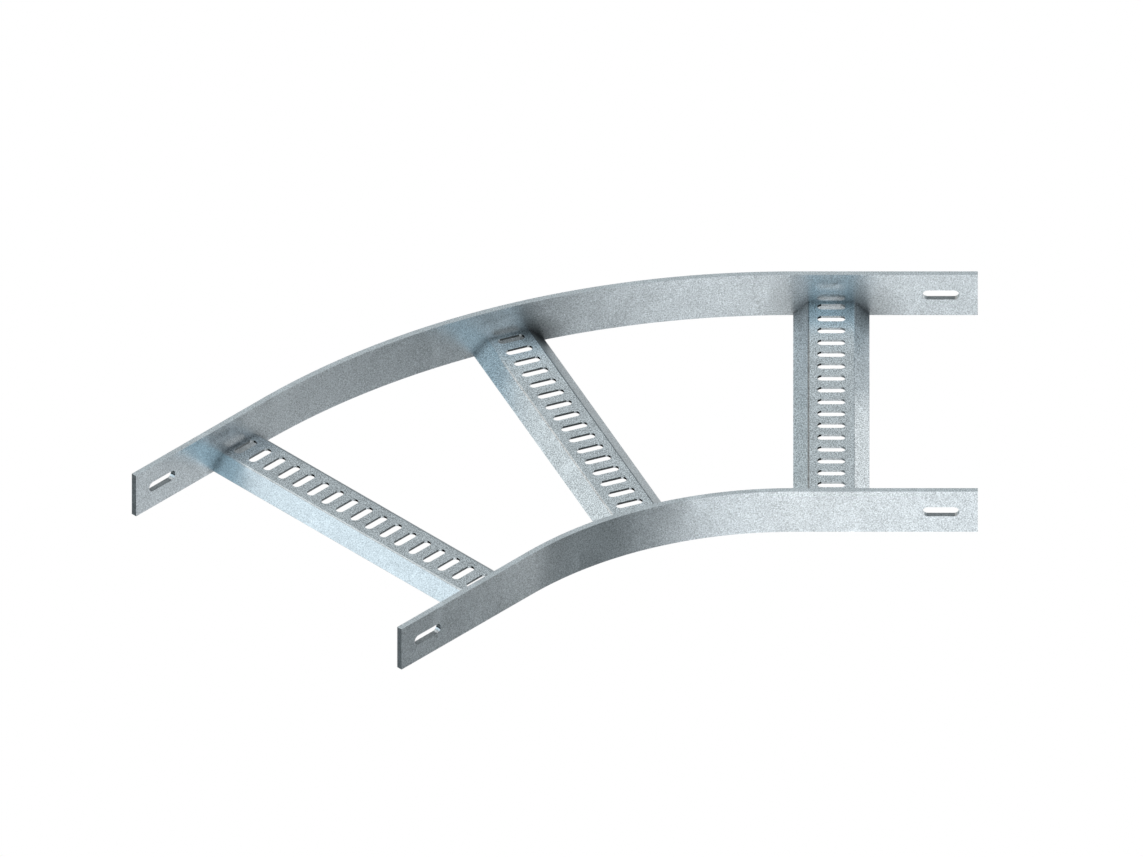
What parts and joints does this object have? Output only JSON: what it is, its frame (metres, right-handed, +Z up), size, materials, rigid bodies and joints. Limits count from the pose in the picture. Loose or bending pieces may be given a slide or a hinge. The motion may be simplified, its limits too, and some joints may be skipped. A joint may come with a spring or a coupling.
{
  "type": "cable tray bend",
  "caption": "Flat 45 degree bend for ladder cable tray: bent flat side rails with slotted ends, joined by folded rungs whose tops are slotted for cable ties.",
  "frame": {"origin": "under the middle of the bend's outline, level with the rails' lower edges", "axes": "+X out of the right-hand end, along its straight run; +Z up; the other end turns through the bend's angle towards -Y"},
  "size_m": [0.6874, 0.504, 0.04],
  "materials": {
    "galvanised_rail": "hot-dip galvanised, mottled grey, satin",
    "galvanised_rung": "hot-dip galvanised, mottled grey, satin",
    "galvanised_weld": "galvanised weld bead, rough"
  },
  "bodies": {
    "root": {"inner_rail": "galvanised_rail", "outer_rail": "galvanised_rail", "right_rung": "galvanised_rung", "middle_rung": "galvanised_rung", "left_rung": "galvanised_rung", "right_rung_weld_inner_left": "galvanised_weld", "right_rung_weld_inner_right": "galvanised_weld", "right_rung_weld_outer_left": "galvanised_weld", "right_rung_weld_outer_right": "galvanised_weld", "middle_rung_weld_inner_left": "galvanised_weld", "middle_rung_weld_inner_right": "galvanised_weld", "middle_rung_weld_outer_left": "galvanised_weld", "middle_rung_weld_outer_right": "galvanised_weld", "left_rung_weld_inner_left": "galvanised_weld", "left_rung_weld_inner_right": "galvanised_weld", "left_rung_weld_outer_left": "galvanised_weld", "left_rung_weld_outer_right": "galvanised_weld"}
  },
  "joints": []
}
